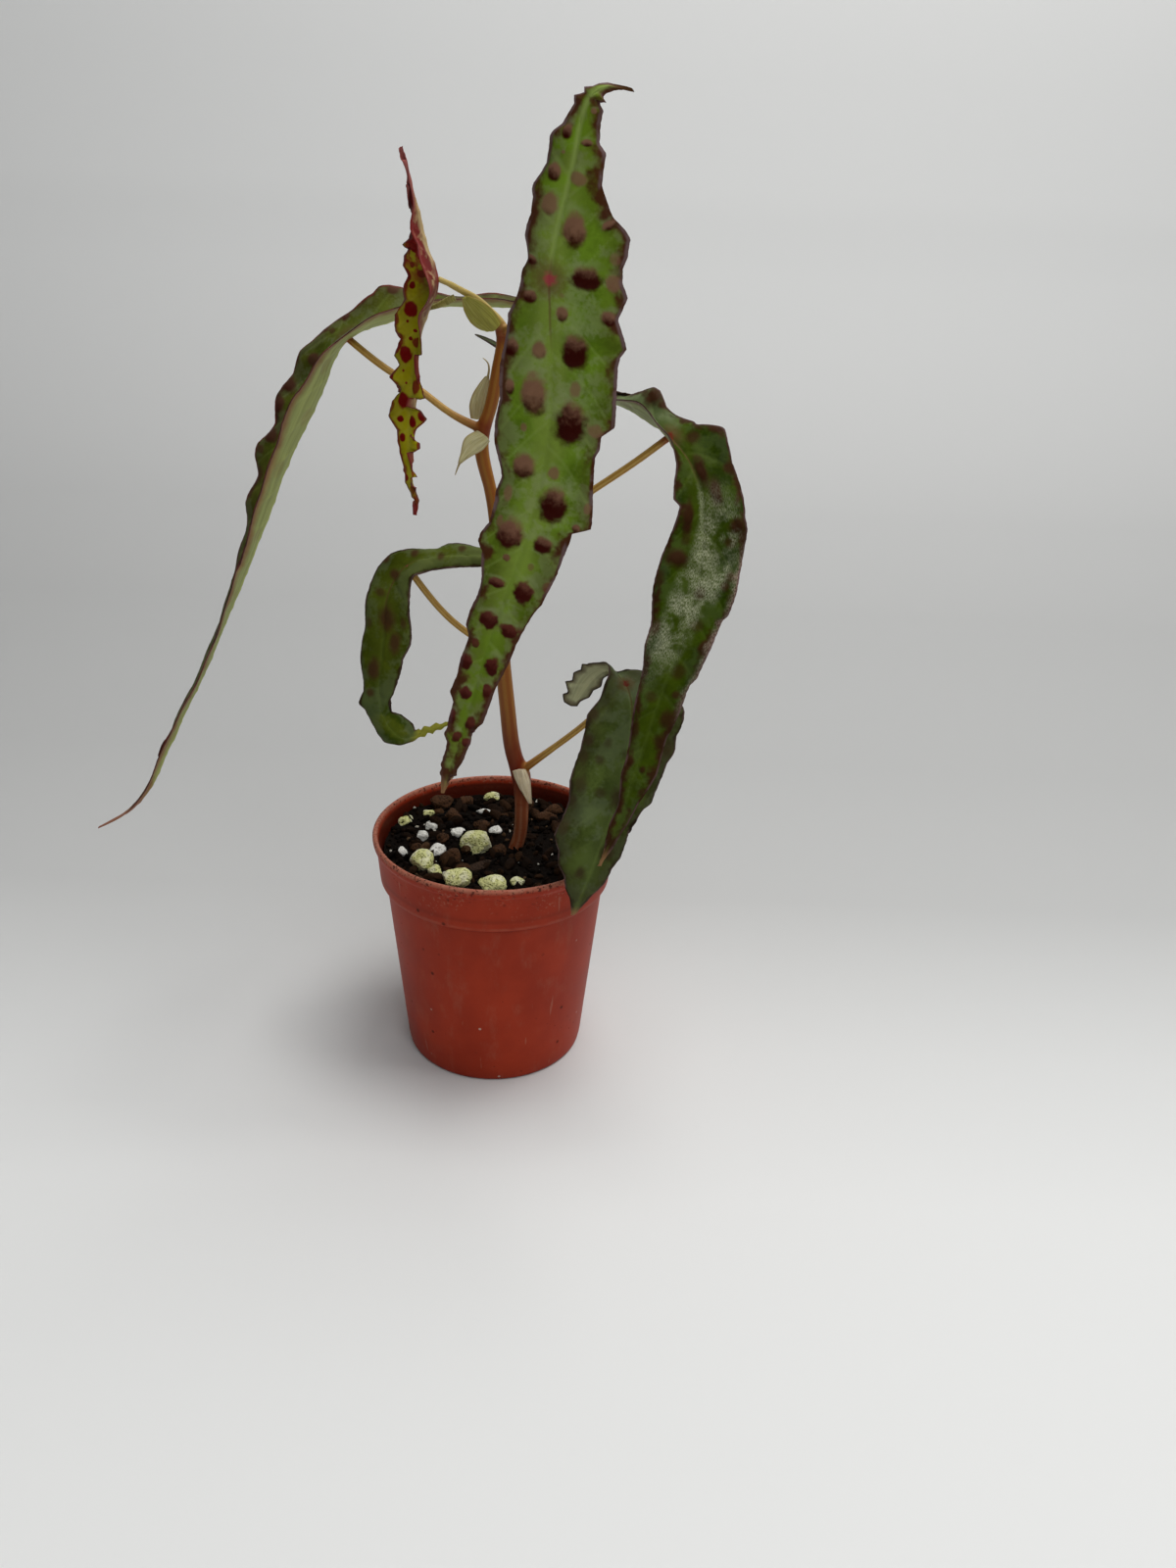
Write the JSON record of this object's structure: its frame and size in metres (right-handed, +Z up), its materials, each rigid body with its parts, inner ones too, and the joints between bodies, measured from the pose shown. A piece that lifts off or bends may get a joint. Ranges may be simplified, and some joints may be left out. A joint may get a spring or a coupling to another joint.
{
  "type": "potted begonia",
  "caption": "Tall potted begonia: a cane stem with long, spotted shield-shaped leaves on thin stalks, rooted in dark mix in a small round nursery pot.",
  "frame": {"origin": "centre of the pot's underside", "axes": "+Z up along the pot's axis, -Y towards the side that the large front leaf hangs on, +X towards the arching leaf"},
  "size_m": [0.1444, 0.0786, 0.2224],
  "materials": {
    "pot_plastic": "satin, faintly dusty",
    "potting_mix": "rough, dark and crumbly",
    "stem": "smooth, slightly waxy",
    "leaf_front": "satin, with raised dark maroon spots",
    "leaf_left_long": "satin, dark green above and pale green below",
    "leaf_right_arch": "satin, with dark spots and chalky deposits",
    "leaf_left_curl": "satin, olive",
    "leaf_low_right": "satin, grey-green",
    "leaf_young": "satin, yellow-green with crimson spots",
    "stipule": "papery, translucent",
    "bud": "smooth, yellow-green",
    "pumice": "rough and porous",
    "perlite": "chalky white",
    "clay": "rough, fired clay",
    "bark": "rough and fibrous"
  },
  "bodies": {
    "root": {"pot": "pot_plastic", "potting_mix": "potting_mix", "stem": "stem", "leaf_front": "leaf_front", "leaf_left_long": "leaf_left_long", "leaf_right_arch": "leaf_right_arch", "leaf_left_curl": "leaf_left_curl", "leaf_low_right": "leaf_low_right", "leaf_young": "leaf_young", "stipule_base": "stipule", "stipule_node_lower": "stipule", "stipule_node_upper": "stipule", "stipule_tip": "stipule", "bud": "bud", "pumice_1": "pumice", "pumice_2": "pumice", "pumice_3": "pumice", "pumice_4": "pumice", "perlite_1": "perlite", "perlite_2": "perlite", "perlite_3": "perlite", "perlite_4": "perlite", "perlite_5": "perlite", "clay_1": "clay", "clay_2": "clay", "clay_3": "clay", "clay_4": "clay", "clay_5": "clay", "bark_chip": "bark"}
  },
  "joints": []
}
